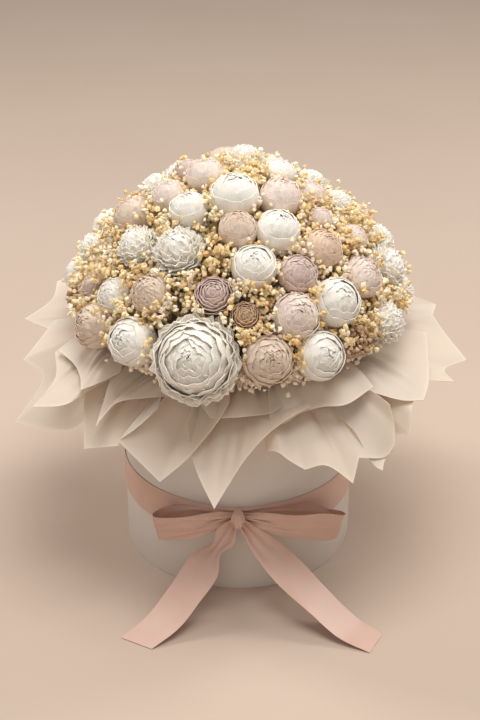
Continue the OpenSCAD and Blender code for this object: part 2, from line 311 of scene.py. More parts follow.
# ---- The blooms ----------------------------------------------------------------------------------
# Everlasting heads pressed from waxy petal stock: each is rings of thin cupped petals around one
# axis, which points away from the middle of the foam. The kinds differ in how far rings open.

focus = np.array([0, 0, rim_height - 0.030])
petal_rows, petal_columns = 9, 9
petal_gauge = 0.0007
foot_share, open_foot_share = 0.42, 0.3

# Each ring of petals: count, rim distance from the middle and rim angle (in shares of the bloom's
# radius, and degrees up from its widest plane), lean of the rim, start angle, half width in
# degrees, frill, teeth and bulge.
kinds = {
    "bud": [
        (5, 1.00, 32, 112, 34, 47, 0.015, 0.0, 0.050),
        (5, 0.98, 52, 134, 34, 47, 0.020, 0.0, 0.055),
        (5, 0.95, 67, 150, 34, 50, 0.025, 0.0, 0.055),
        (4, 0.93, 77, 160, 34, 58, 0.030, 0.0, 0.040),
        (3, 0.91, 85, 168, 34, 66, 0.030, 0.0, 0.030),
        (3, 0.88, 89, 172, 34, 78, 0.000, 0.0, 0.000),
    ],
    "peony": [
        (6, 1.00, 26, 106, 34, 39, 0.020, 0.0, 0.045),
        (6, 0.985, 42, 124, 34, 39, 0.025, 0.0, 0.050),
        (6, 0.965, 54, 137, 34, 40, 0.030, 0.0, 0.050),
        (6, 0.945, 64, 147, 34, 42, 0.035, 0.0, 0.045),
        (5, 0.925, 73, 156, 34, 48, 0.035, 0.0, 0.040),
        (5, 0.905, 80, 163, 34, 54, 0.035, 0.0, 0.030),
        (4, 0.885, 86, 170, 34, 68, 0.030, 0.0, 0.020),
        (3, 0.860, 89, 172, 34, 80, 0.000, 0.0, 0.000),
    ],
    "pompon": [
        (10, 1.00, 24, 106, 34, 23, 0.020, 0.0, 0.05),
        (10, 0.98, 40, 122, 34, 23, 0.020, 0.0, 0.05),
        (9, 0.955, 54, 136, 34, 25, 0.030, 0.0, 0.05),
        (8, 0.93, 66, 148, 34, 28, 0.030, 0.0, 0.05),
        (7, 0.905, 76, 158, 34, 34, 0.030, 0.0, 0.04),
        (5, 0.885, 84, 167, 34, 48, 0.030, 0.0, 0.03),
        (3, 0.860, 89, 172, 34, 80, 0.000, 0.0, 0.00),
    ],
    "rose": [
        (5, 1.00, 4, 66, 36, 46, 0.030, 0.0, 0.02),
        (5, 0.95, 20, 84, 36, 46, 0.030, 0.0, 0.02),
        (5, 0.89, 34, 100, 38, 46, 0.030, 0.0, 0.03),
        (5, 0.84, 47, 114, 42, 46, 0.030, 0.0, 0.03),
        (4, 0.80, 59, 126, 46, 54, 0.030, 0.0, 0.03),
        (4, 0.77, 70, 138, 50, 56, 0.030, 0.0, 0.03),
        (3, 0.75, 81, 150, 54, 66, 0.030, 0.0, 0.0),
        (3, 0.72, 89, 160, 60, 80, 0.000, 0.0, 0.0),
    ],
    "open rose": [
        (8, 1.04, -4, 6, 56, 30, 0.070, 0.05, 0.02),
        (8, 1.02, 4, 24, 56, 30, 0.070, 0.05, 0.03),
        (7, 0.99, 13, 46, 54, 34, 0.050, 0.03, 0.04),
        (7, 0.96, 22, 76, 50, 34, 0.035, 0.02, 0.05),
        (6, 0.93, 32, 102, 46, 39, 0.030, 0.0, 0.05),
        (6, 0.90, 43, 118, 44, 40, 0.025, 0.0, 0.05),
        (5, 0.875, 53, 132, 44, 46, 0.025, 0.0, 0.05),
        (5, 0.855, 63, 142, 44, 48, 0.025, 0.0, 0.04),
        (5, 0.84, 72, 152, 44, 50, 0.025, 0.0, 0.03),
        (4, 0.825, 80, 160, 44, 60, 0.020, 0.0, 0.02),
        (4, 0.81, 86, 167, 44, 70, 0.015, 0.0, 0.0),
        (3, 0.795, 89, 170, 44, 80, 0.000, 0.0, 0.0),
    ],
    "carnation": [
        (7, 1.04, 0, 10, 52, 34, 0.085, 0.10, 0.02),
        (7, 1.02, 14, 24, 52, 34, 0.085, 0.10, 0.03),
        (7, 1.00, 28, 44, 52, 34, 0.085, 0.10, 0.04),
        (6, 0.98, 42, 62, 48, 39, 0.085, 0.10, 0.05),
        (6, 0.96, 56, 84, 44, 40, 0.080, 0.10, 0.04),
        (5, 0.94, 69, 112, 42, 48, 0.075, 0.09, 0.03),
        (4, 0.90, 80, 146, 42, 60, 0.055, 0.06, 0.0),
        (3, 0.87, 89, 168, 42, 82, 0.020, 0.0, 0.0),
    ],
}
kinds["full carnation"] = kinds["carnation"]
# How far the petals stand outside the turned solid that carries them.
bloom_swell = {
    "bud": 1.16,
    "peony": 1.15,
    "pompon": 1.13,
    "rose": 1.18,
    "open rose": 1.18,
    "carnation": 1.24,
    "full carnation": 1.5,
}


def facing(shape, axis):
    """The unit normals of grids of points whose rows run along and whose columns run across."""
    along = np.gradient(shape, axis=axis)
    across = np.gradient(shape, axis=axis + 1)
    normal = np.cross(across, along)
    return normal / (np.linalg.norm(normal, axis=-1, keepdims=True) + 1e-12)


def shells(front, gauge):
    """Points and quads of closed thin shells: the fronts, given as (shell, row, column, place),
    backs that lie a gauge behind them, and a strip around each edge."""
    count, rows, columns = front.shape[:3]
    back = front - gauge * facing(front, 1)
    points = np.stack([front, back], axis=1).reshape(-1, 3)
    size = rows * columns
    at = np.arange(size).reshape(rows, columns)
    face = np.stack([at[:-1, :-1], at[:-1, 1:], at[1:, 1:], at[1:, :-1]], -1).reshape(-1, 4)
    rim = np.concatenate([at[0, :-1], at[:-1, -1], at[-1, :0:-1], at[:0:-1, 0]])
    ahead = np.roll(rim, -1)
    strip = np.stack([rim, rim + size, ahead + size, ahead], axis=-1)
    one = np.concatenate([face, face[:, ::-1] + size, strip])
    quads = (one[None] + 2 * size * np.arange(count)[:, None, None]).reshape(-1, 4)
    return points, quads


def put_uv(placed, along_across, quads):
    """A UV map from one (across, along) pair a point."""
    layer = placed.data.uv_layers.new(name="UVMap")
    layer.data.foreach_set("uv", along_across[quads.reshape(-1)].reshape(-1))


def put_value(placed, name, values):
    """A named number on each point, which a finish can read."""
    placed.data.attributes.new(name, "FLOAT", "POINT").data.foreach_set("value", values)


def petals(rings, chance):
    """The fronts of one bloom's petals, for a radius of 1 and an axis along +Z: a cubic that leaves
    the foot at the start angle and reaches the rim at its lean, swung across the petal's width."""
    rings = np.array(rings, float)
    ring = np.repeat(np.arange(len(rings)), rings[:, 0].astype(int))
    rim, angle, lean, start, half, frill, teeth, bulge = rings[ring, 1:].T[:, :, None, None]
    jitter = chance.uniform(-1, 1, (4, len(ring), 1, 1))
    place = np.concatenate([np.arange(n) / n for n in rings[:, 0]])[:, None, None]
    azimuth = 2 * np.pi * (place + ring[:, None, None] * 0.382) + 0.10 * jitter[0]
    across = np.linspace(-1, 1, petal_columns)[None, None, :]
    along = np.linspace(0, 1, petal_rows)[None, :, None]
    tooth = teeth * np.abs(np.sin(1.5 * np.pi * (across + 0.3 * jitter[1])))
    reach = along * (1 - 0.13 * np.abs(across) ** 3 - tooth * along**2)
    rim = rim * (1 + 0.025 * jitter[2])
    angle = np.radians(angle + 2.5 * jitter[3])
    lean, start = np.radians(lean), np.radians(start)
    foot_r, foot_z = 0.5 * rim, -0.74 * rim
    rim_r, rim_z = rim * np.cos(angle), rim * np.sin(angle)
    turn = np.abs(lean - start) + 1e-3
    chord = np.hypot(rim_r - foot_r, rim_z - foot_z)
    handle = 4 / 3 * np.tan(turn / 4) * chord / (2 * np.sin(turn / 2))
    radii = [foot_r, foot_r + handle * np.cos(start), rim_r - handle * np.cos(lean), rim_r]
    heights = [foot_z, foot_z + handle * np.sin(start), rim_z - handle * np.sin(lean), rim_z]
    weights = [(1 - reach) ** 3, 3 * (1 - reach) ** 2 * reach, 3 * (1 - reach) * reach**2, reach**3]
    radius = sum(w * r for w, r in zip(weights, radii))
    height = sum(w * h for w, h in zip(weights, heights))
    wave = np.sin(np.pi * (2.6 * across + 3 * jitter[1])) + 0.5 * np.sin(np.pi * (5.3 * across + jitter[0]))
    radius = radius * (1 + bulge * (1 - across**2) + 0.02 * across * along) + frill * wave * along**4
    height = height + 0.6 * frill * np.cos(np.pi * (2.1 * across + 2 * jitter[2])) * along**4
    breadth = 0.55 + 0.45 * np.sin(np.pi * np.minimum(along, 0.62) / 1.24)
    swing = azimuth + np.radians(half) * across * breadth
    fronts = np.stack([radius * np.cos(swing), radius * np.sin(swing), height], axis=-1)
    return fronts / radius.max(), ring / (len(rings) - 1)


def heads_of(node, middle_share):
    """The middle, axis and radius of each bloom in a CAD node. Its solids are turned shapes whose
    axes pass through the focus, so each island of its mesh gives its own."""
    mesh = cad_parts[node].data
    points = np.empty(3 * len(mesh.vertices))
    mesh.vertices.foreach_get("co", points)
    corners = np.empty(len(mesh.loops), int)
    mesh.loops.foreach_get("vertex_index", corners)
    points, merged = np.unique(points.reshape(-1, 3).round(6), axis=0, return_inverse=True)
    triangles = merged.reshape(-1)[corners].reshape(-1, 3)
    label = np.arange(len(points))
    while True:
        lowest = label[triangles].min(axis=1)
        joined = label.copy()
        for k in range(3):
            np.minimum.at(joined, triangles[:, k], lowest)
        if (joined == label).all():
            break
        label = joined[joined]
    heads = []
    for island in np.unique(label):
        reach = points[label == island] - focus
        axis = (reach.min(axis=0) + reach.max(axis=0)) / 2
        for _ in range(3):
            axis = unit(axis)
            along = reach @ axis
            off = reach - along[:, None] * axis
            axis = axis + (off.max(axis=0) + off.min(axis=0)) / 2 / along.mean()
        axis = unit(axis)
        along = reach @ axis
        radius = np.linalg.norm(reach - along[:, None] * axis, axis=1).max()
        heads.append((focus + (along.min() + middle_share * 2 * radius) * axis, axis, radius))
    return heads


def petal_stock(name, rim, depth, blush, edge):
    """Waxy petal stock: paler at the rim, darker at the foot, partly its own colour and partly painted
    shade where the petals overlap, deeper in the inner rings, with a thin dried edge."""
    stock = Finish(
        name,
        {
            "Roughness": 0.5,
            "Specular IOR Level": 0.35,
            "Subsurface Weight": 0.25,
            "Subsurface Scale": 0.005,
            "Subsurface Radius": (1.0, 0.85, 0.7),
        },
    )
    along = stock.add("ShaderNodeSeparateXYZ", {}, {0: stock.add("ShaderNodeTexCoord", {}, {}, "UV")}, 1)
    across = stock.add("ShaderNodeSeparateXYZ", {}, {0: stock.add("ShaderNodeTexCoord", {}, {}, "UV")}, 0)
    tone = stock.add("ShaderNodeAttribute", {"attribute_name": "tone"}, {}, "Fac")
    inner = stock.add("ShaderNodeAttribute", {"attribute_name": "ring"}, {}, "Fac")
    mottle = stock.noise(260.0, 4.0)
    # Darker towards each petal's foot: partly the stock's own colour, partly painted shade where petals
    # overlap.
    stock_and_foot_shade = stock.between(along**1.6, depth, rim)
    stock_and_foot_shade = stock.between(0.30 * inner + 0.35 * tone * mottle, stock_and_foot_shade, blush)
    varied = stock.between(0.6 * along**14.0, stock_and_foot_shade, edge)
    fleck = stock.add("ShaderNodeMath", {"operation": "GREATER_THAN"}, {0: stock.noise(420.0, 1.0), 1: 0.74})
    stock.colour(stock.between(0.5 * fleck, varied, chart(168, 140, 112)))
    stock.roughness(0.42 + 0.2 * mottle)
    vein = stock.add("ShaderNodeTexNoise", {"noise_dimensions": "2D"}, {
        "Vector": stock.add("ShaderNodeCombineXYZ", {}, {0: across * 26.0, 1: along * 1.6 + 9.0 * tone}),
        "Scale": 1.0,
        "Detail": 2.0,
    })
    stock.relief(vein + 0.3 * mottle, 0.35, 0.0006)
    return stock


white = chart(253, 248, 238)
# The second colour of each stock is its foot colour, partly painted shade where petals overlap.
stocks = {
    "white": petal_stock("white_petals", white, chart(236, 228, 212), chart(240, 233, 220), white),
    "cream": petal_stock("cream_petals", white, chart(240, 229, 206), chart(242, 233, 214), white),
    "frilled": petal_stock("frilled_petals", white, chart(250, 245, 226), chart(252, 247, 236), white),
    "taupe": petal_stock(
        "taupe_petals", chart(240, 223, 206), chart(211, 183, 160), chart(225, 202, 182), chart(212, 182, 156)
    ),
    "blush": petal_stock(
        "blush_petals", chart(250, 236, 227), chart(231, 208, 193), chart(242, 221, 209), chart(228, 202, 182)
    ),
    "peach": petal_stock(
        "peach_petals", chart(243, 220, 198), chart(222, 188, 158), chart(233, 203, 177), chart(218, 180, 148)
    ),
    "mauve": petal_stock(
        "mauve_petals", chart(222, 198, 188), chart(182, 150, 138), chart(200, 170, 160), chart(228, 206, 196)
    ),
    "brown": petal_stock(
        "brown_petals", chart(206, 172, 140), chart(152, 116, 86), chart(176, 138, 106), chart(214, 182, 150)
    ),
}

# What each CAD node holds. A mixed node lists its blooms by azimuth, in degrees from the front.
blooms = {
    "open_rose": ("open rose", "cream"),
    **{f"white_peony_{i}": ("bud", "white") for i in range(1, 7)},
    **{f"taupe_peony_{i}": ("peony", "taupe") for i in range(1, 5)},
    **{f"blush_peony_{i}": ("peony", "blush") for i in range(1, 4)},
    "peach_peony": ("peony", "peach"),
    "pink_peony": ("pompon", "blush"),
    "mauve_pompon": ("pompon", "mauve"),
    "beige_pompon": ("pompon", "taupe"),
    "white_pompon": ("pompon", "white"),
    "mauve_rose": ("rose", "mauve"),
    "brown_rose": ("rose", "brown"),
    **{f"white_carnation_{i}": ("carnation", "frilled") for i in range(1, 6)},
    "top_carnation": ("carnation", "frilled"),
    "back_carnations": ("carnation", "frilled"),
    "back_roses": ("rose", "mauve"),
}
mixed_blooms = {
    "small_peonies": {
        -78: ("peony", "blush"),
        76: ("peony", "blush"),
        66: ("peony", "blush"),
        -44: ("bud", "white"),
        100: ("bud", "white"),
        141: ("peony", "blush"),
        88: ("peony", "blush"),
    },
    "side_blooms": {
        -83: ("hydrangea", "brown"),
        -101: ("bud", "white"),
        -71: ("rose", "mauve"),
        87: ("full carnation", "frilled"),
        -119: ("carnation", "frilled"),
    },
    "back_peonies": {
        -120: ("bud", "white"),
        -160: ("peony", "taupe"),
        160: ("bud", "white"),
        122: ("peony", "blush"),
        -134: ("peony", "taupe"),
        163: ("bud", "white"),
        -94: ("peony", "blush"),
        121: ("peony", "peach"),
        -146: ("bud", "white"),
    },
}
chance = np.random.default_rng(7)
head_spheres = []


def put_blooms(name, node, kind, stock, heads):
    """One mesh of blooms of one kind and stock, in the places of a CAD node's solids."""
    head_spheres.extend((middle, axis, bloom_swell[kind] * radius) for middle, axis, radius in heads)
    points, uvs, tones, rings, quads, total = [], [], [], [], [], 0
    for middle, axis, radius in heads:
        fronts, depth = petals(kinds[kind], chance)
        side = np.cross(axis, [0, 0, 1])
        side = side / (np.linalg.norm(side) + 1e-9)
        spread = np.stack([side, np.cross(axis, side), axis])
        shape, faces = shells(middle + bloom_swell[kind] * radius * (fronts @ spread), petal_gauge)
        count = len(fronts)
        uv = np.stack(
            np.meshgrid(np.linspace(0, 1, petal_columns), np.linspace(0, 1, petal_rows)), axis=-1
        )
        points.append(shape)
        uvs.append(np.tile(uv.reshape(-1, 2), (2 * count, 1)))
        per_petal = 2 * petal_rows * petal_columns
        tones.append(np.repeat(chance.random(count), per_petal))
        rings.append(np.repeat(depth, per_petal))
        quads.append(faces + total)
        total += len(shape)
    quads = np.concatenate(quads)
    bloom = put_mesh(name, np.concatenate(points), quads, stocks[stock])
    put_uv(bloom, np.concatenate(uvs), quads)
    put_value(bloom, "tone", np.concatenate(tones))
    put_value(bloom, "ring", np.concatenate(rings))
    hand_over(bloom, "arrangement", node)


def azimuth_of(head):
    """The turn of a bloom's axis about the box's axis, in degrees from the front."""
    return np.degrees(np.arctan2(head[1][0], -head[1][1]))


hydrangeas = []
for node, (kind, stock) in blooms.items():
    heads = heads_of(node, open_foot_share if kind == "open rose" else foot_share)
    put_blooms(node + "_petals", node, kind, stock, heads)
for node, members in mixed_blooms.items():
    heads = heads_of(node, foot_share)
    sorted_heads = {}
    for head in heads:
        near = min(members, key=lambda a: abs((a - azimuth_of(head) + 180) % 360 - 180))
        sorted_heads.setdefault(members[near], []).append(head)
    for (kind, stock), group in sorted_heads.items():
        if kind == "hydrangea":
            head_spheres += group
            hydrangeas += [(node, head) for head in group]
        else:
            put_blooms(f"{node}_{stock}_{kind.replace(' ', '_')}", node, kind, stock, group)
hydrangea_heads = heads_of("dried_hydrangea", foot_share)
hydrangeas += [("dried_hydrangea", head) for head in hydrangea_heads]
head_spheres += hydrangea_heads

# ---- Gypsophila and dried hydrangea ----------------------------------------------------------------
# Sprays of dried gypsophila fill every gap: thin stalks that branch to small crumpled florets,
# golden and cream above, pinkish under the lowest blooms. Hydrangea is a ball of brown florets.

floret_radius = 0.0026
ico = (1 + 5**0.5) / 2
ico_points = np.array(
    [[0, s, t * ico] for s in (-1, 1) for t in (-1, 1)]
    + [[s, t * ico, 0] for s in (-1, 1) for t in (-1, 1)]
    + [[t * ico, 0, s] for s in (-1, 1) for t in (-1, 1)]
)
ico_points = ico_points / np.linalg.norm(ico_points[0])


def hull_faces(points):
    """The triangles of a ball's corners: every three that lie an edge apart, turned outwards."""
    gap = np.linalg.norm(points[:, None] - points[None], axis=-1)
    edge = gap[gap > 0].min() * 1.01
    corners = np.arange(len(points))
    a, b, c = np.meshgrid(corners, corners, corners, indexing="ij")
    near = (a < b) & (b < c) & (gap[a, b] < edge) & (gap[b, c] < edge) & (gap[a, c] < edge)
    faces = np.stack([a[near], b[near], c[near]], axis=-1)
    x, y, z = (points[faces[:, k]] for k in range(3))
    inward = np.einsum("ij,ij->i", np.cross(y - x, z - x), x) < 0
    faces[inward] = faces[inward][:, ::-1]
    return faces


ico_faces = hull_faces(ico_points)


def turns(count):
    """Random rotations, from random unit quaternions."""
    q = chance.normal(size=(count, 4))
    w, x, y, z = unit(q).T
    rows = [
        [1 - 2 * (y * y + z * z), 2 * (x * y - z * w), 2 * (x * z + y * w)],
        [2 * (x * y + z * w), 1 - 2 * (x * x + z * z), 2 * (y * z - x * w)],
        [2 * (x * z - y * w), 2 * (y * z + x * w), 1 - 2 * (x * x + y * y)],
    ]
    return np.moveaxis(np.array(rows), -1, 0)


def florets(places, radii):
    """Crumpled balls: an icosahedron whose corners are drawn in and out at random."""
    count = len(places)
    crumple = chance.uniform(0.45, 1.3, (count, len(ico_points), 1))
    shape = np.einsum("nij,pj->npi", turns(count), ico_points) * crumple
    points = places[:, None] + radii[:, None, None] * shape
    faces = ico_faces[None] + len(ico_points) * np.arange(count)[:, None, None]
    return points.reshape(-1, 3), faces.reshape(-1, 3)


def stalks(starts, ends, radius):
    """Thin closed spikes from each start to its end."""
    run = ends - starts
    side = np.cross(run, chance.normal(size=run.shape))
    side = radius * unit(side)
    other = np.cross(unit(run), side)
    base = [starts + side, starts - 0.5 * side + 0.87 * other, starts - 0.5 * side - 0.87 * other]
    points = np.stack([*base, ends], axis=1).reshape(-1, 3)
    one = np.array([[0, 2, 1], [0, 1, 3], [1, 2, 3], [2, 0, 3]])
    faces = one[None] + 4 * np.arange(len(starts))[:, None, None]
    return points, faces.reshape(-1, 3)


def clear_of_heads(places):
    """Which places lie outside every bloom and don't stand in front of one, seen from outside."""
    free = np.ones(len(places), bool)
    for middle, axis, radius in head_spheres:
        reach = places - focus
        along = reach @ axis
        off = np.linalg.norm(reach - along[:, None] * axis, axis=1)
        cone = 0.87 * radius * along / np.linalg.norm(middle - focus)
        before = (along > np.linalg.norm(middle - focus)) & (off < cone)
        free &= (np.linalg.norm(places - middle, axis=1) > 0.97 * radius) & ~before
    return free


def dried(name, stops):
    """Dried florets: a papery colour that differs from one floret to the next."""
    finish = Finish(name, {"Specular IOR Level": 0.15, "Subsurface Weight": 0.25})
    finish.shader.inputs["Subsurface Radius"].default_value = (1.0, 0.85, 0.65)
    finish.shader.inputs["Subsurface Scale"].default_value = 0.003
    tone = finish.add("ShaderNodeAttribute", {"attribute_name": "tone"}, {}, "Fac")
    ramp = finish.add("ShaderNodeValToRGB", {"stops": stops}, {0: tone + 0.25 * finish.noise(300.0) - 0.12})
    finish.colour(ramp)
    finish.roughness(0.75 + 0.2 * finish.noise(500.0))
    finish.relief(finish.noise(900.0, 2.0), 0.4, 0.0004)
    return finish


golden = dried(
    "gypsophila",
    [
        (0.0, chart(214, 174, 118)),
        (0.25, chart(238, 207, 152)),
        (0.55, chart(249, 229, 186)),
        (0.8, chart(252, 240, 216)),
        (1.0, chart(240, 218, 202)),
    ],
)

crown_low = min(head[0][2] for head in head_spheres)
crown_high = max(head[0][2] for head in head_spheres)
crown_reach = max(np.hypot(head[0][0], head[0][1]) for head in head_spheres)
crown_power = 1.45
spray_count = 1500
skirt_count = 620
florets_a_spray = 13
spray_spread = 0.0075
golden_angle = np.pi * (3 - 5**0.5)

turn = np.arange(spray_count) * golden_angle
level = (np.arange(spray_count) + 0.5) / spray_count
height_angle = np.arcsin(level)
reach = crown_reach * np.cos(height_angle) ** (2 / crown_power)
lift = crown_low + (crown_high - crown_low) * np.sin(height_angle) ** (2 / crown_power)
shell = around(turn, reach, lift)
skirt_turn = golden_angle * np.arange(skirt_count)
skirt_up = chance.random(skirt_count) ** 0.7
skirt_reach = 0.108 + (crown_reach - 0.111) * skirt_up + chance.uniform(-0.004, 0.004, skirt_count)
skirt_lift = rim_height + 0.010 + 0.034 * skirt_up + chance.uniform(-0.004, 0.004, skirt_count)
skirt = around(skirt_turn, skirt_reach, skirt_lift)
shell = np.concatenate([shell, skirt])
outward = unit(shell - focus)
proud = chance.uniform(-0.014, 0.014, len(shell))
proud[spray_count:] = 0
sprays = shell + outward * proud[:, None]
tips = sprays[:, None] + spray_spread * chance.normal(size=(len(sprays), florets_a_spray, 3)) * 0.62
roots = np.repeat((sprays - outward * 0.022)[:, None], florets_a_spray, axis=1)
tone = np.clip(
    np.repeat(chance.uniform(0.15, 0.85, (len(sprays), 1)), florets_a_spray, axis=1)
    + chance.normal(0, 0.14, (len(sprays), florets_a_spray)),
    0,
    1,
)
tone[spray_count:] = chance.uniform(0.75, 1.0, tone[spray_count:].shape)
tips, roots, tone = tips.reshape(-1, 3), roots.reshape(-1, 3), tone.reshape(-1)
free = clear_of_heads(tips)
tips, roots, tone = tips[free], roots[free], tone[free]
tip_turn = np.arctan2(tips[:, 0], -tips[:, 1])
for node, middle in {
    "gypsophila_front": 0,
    "gypsophila_right": 1,
    "gypsophila_back": 2,
    "gypsophila_left": 3,
}.items():
    mine = np.round(tip_turn / (np.pi / 2)).astype(int) % 4 == middle
    balls, ball_faces = florets(tips[mine], chance.uniform(0.7, 1.25, mine.sum()) * floret_radius)
    threads, thread_faces = stalks(roots[mine], tips[mine], 0.0004)
    sprig = put_mesh(
        node + "_sprays",
        np.concatenate([balls, threads]),
        np.concatenate([ball_faces, thread_faces + len(balls)]),
        golden,
    )
    tones = np.concatenate([np.repeat(tone[mine], len(ico_points)), np.repeat(0.2 * tone[mine], 4)])
    put_value(sprig, "tone", tones)
    sprig.data.shade_flat()
    hand_over(sprig, "arrangement", node)

rust = dried(
    "hydrangea",
    [
        (0.0, chart(136, 106, 80)),
        (0.5, chart(180, 148, 116)),
        (1.0, chart(216, 188, 156)),
    ],
)
florets_a_cluster = 170
k = np.arange(florets_a_cluster)
level = 1 - 2 * (k + 0.5) / florets_a_cluster
ring_reach = np.sqrt(1 - level * level)
sphere = np.stack([ring_reach * np.cos(k * golden_angle), ring_reach * np.sin(k * golden_angle), level], -1)
for node in ("dried_hydrangea", "side_blooms"):
    balls, ball_faces, total = [], [], 0
    for middle, axis, radius in [head for owner, head in hydrangeas if owner == node]:
        places = middle + sphere * radius * chance.uniform(0.72, 1.0, (florets_a_cluster, 1))
        shape, faces = florets(places, chance.uniform(0.8, 1.3, florets_a_cluster) * floret_radius)
        balls.append(shape)
        ball_faces.append(faces + total)
        total += len(shape)
    cluster = put_mesh(node + "_florets", np.concatenate(balls), np.concatenate(ball_faces), rust)
    put_value(cluster, "tone", np.repeat(chance.random(total // len(ico_points)), len(ico_points)))
    cluster.data.shade_flat()
    hand_over(cluster, "arrangement", node)

# ---- The film collar -------------------------------------------------------------------------------
# Sheets of matte ivory film, each folded and pinned to the foam's shoulder by its middle, so that
# it fans out over the rim. Its cut edges stay straight between sharp corners, and its folds are soft.

film = Finish(
    "collar_film",
    {"Roughness": 0.42, "Specular IOR Level": 0.35, "Sheen Weight": 0.2, "Sheen Roughness": 0.5},
)
# Painted highlight: each sheet's cut rim is mixed towards near-white, as its edges catch the light.
rim_highlight = film.add("ShaderNodeAttribute", {"attribute_name": "rim"}, {}, "Fac")
cloudy = film.between(film.noise(9.0), chart(232, 219, 204), chart(242, 231, 218))
film.colour(film.between(0.8 * rim_highlight**3.0, cloudy, chart(253, 245, 230)))
film.roughness(0.38 + 0.14 * film.noise(60.0))
film.relief(film.noise(26.0, 2.0), 0.25, 0.0025)
glow = film.add("ShaderNodeBsdfTranslucent", {}, {"Color": chart(250, 236, 218)})
lit = film.add("ShaderNodeMixShader", {}, {0: 0.3, 1: Wire(film, film.shader.outputs[0]), 2: glow})
film.feed(film.tree.nodes["Material Output"].inputs["Surface"], lit)

film_gauge = 0.0005
root_reach = 0.106
root_height = rim_height + 0.0016
layer_gap = 0.0022
sheet_rows, sheet_columns = 17, 97
tight_bend, wide_bend = 0.004, 0.012
full_roll = 2.8
rim_clearance = 0.006
smooth_share = 0.03

# Each sheet: the azimuths of its pinned middle, its layer, how far it stands up before it falls in
# mm, and the share of it rolled up at its left and right sides or, below 0, rolled under. Then its
# free edge, as (azimuth, reach in mm, height in mm, 1 at a cut corner or 0 on a curve).
collar = {
    "paper_sheet_1": (
        ((-124, -86), 0, 8, (0.0, 0.12)),
        [
            (-133, 206, 242, 0), (-120, 227, 238, 1), (-110, 212, 236, 0), (-101, 229, 228, 1),
            (-88, 184, 238, 0),
        ],
    ),
    "paper_sheet_2": (
        ((-98, -50), 2, 9, (0.0, 0.0)),
        [
            (-95, 190, 241, 0), (-85, 220, 214, 1), (-79, 202, 203, 0), (-73, 235, 169, 1),
            (-66, 205, 170, 0), (-59, 186, 182, 0), (-50, 164, 224, 0),
        ],
    ),
    "paper_sheet_3": (
        ((-64, -28), 0, 5, (0.0, 0.0)),
        [(-64, 164, 230, 0), (-56, 182, 212, 0), (-48, 201, 179, 1), (-38, 186, 190, 1), (-28, 162, 232, 0)],
    ),
    "paper_sheet_4": (
        ((-36, -2), 3, 6, (0.0, 0.0)),
        [
            (-28, 162, 230, 0), (-33, 176, 212, 0), (-38, 187, 196, 1), (-23, 190, 167, 1),
            (-16, 180, 190, 0), (-11, 173, 210, 0), (-6, 165, 230, 0), (-3, 152, 241, 0),
        ],
    ),
    "paper_sheet_5": (
        ((-18, 26), 0, 5, (0.0, 0.0)),
        [
            (-18, 160, 218, 0), (-13, 180, 184, 0), (-6, 211, 160, 1), (-2, 196, 181, 0), (2, 185, 198, 0),
            (8, 176, 216, 0), (15, 171, 229, 0), (24, 168, 238, 0),
        ],
    ),
    "paper_sheet_6": (
        ((8, 46), 2, 8, (0.16, 0.0)),
        [
            (8, 170, 224, 0), (13, 182, 200, 0), (19, 193, 186, 1), (25, 199, 189, 0), (31, 212, 170, 1),
            (35, 201, 188, 1), (41, 213, 186, 0), (44, 216, 197, 1), (46, 208, 212, 0), (47, 198, 230, 0),
        ],
    ),
    "paper_sheet_7": (
        ((32, 66), 0, 5, (0.0, 0.0)),
        [
            (37, 186, 208, 0), (38, 208, 182, 0), (39, 219, 177, 1), (41, 214, 183, 0), (45, 212, 190, 0),
            (47, 209, 199, 0), (48, 222, 204, 1), (52, 212, 224, 0), (62, 204, 236, 0),
        ],
    ),
    "paper_sheet_8": (
        ((56, 100), 1, 8, (0.0, 0.0)),
        [
            (54, 186, 232, 0), (65, 200, 226, 0), (72, 226, 217, 1), (75, 214, 223, 0), (79, 234, 228, 1),
            (88, 212, 238, 0), (100, 204, 241, 0),
        ],
    ),
    "paper_sheet_9": (
        ((90, 132), 0, 8, (0.0, 0.12)),
        [(86, 196, 238, 0), (96, 202, 240, 0), (102, 212, 245, 1), (114, 200, 240, 0), (128, 216, 236, 1)],
    ),
    "paper_sheet_10": (
        ((126, 178), 2, 8, (0.12, 0.0)),
        [(122, 205, 236, 0), (134, 226, 222, 1), (148, 200, 230, 0), (164, 228, 216, 1), (178, 200, 236, 0)],
    ),
    "paper_sheet_11": (
        ((172, 240), 0, 8, (0.0, 0.1)),
        [(170, 205, 236, 0), (186, 226, 220, 1), (203, 202, 232, 0), (219, 228, 218, 1), (238, 204, 240, 0)],
    ),
}
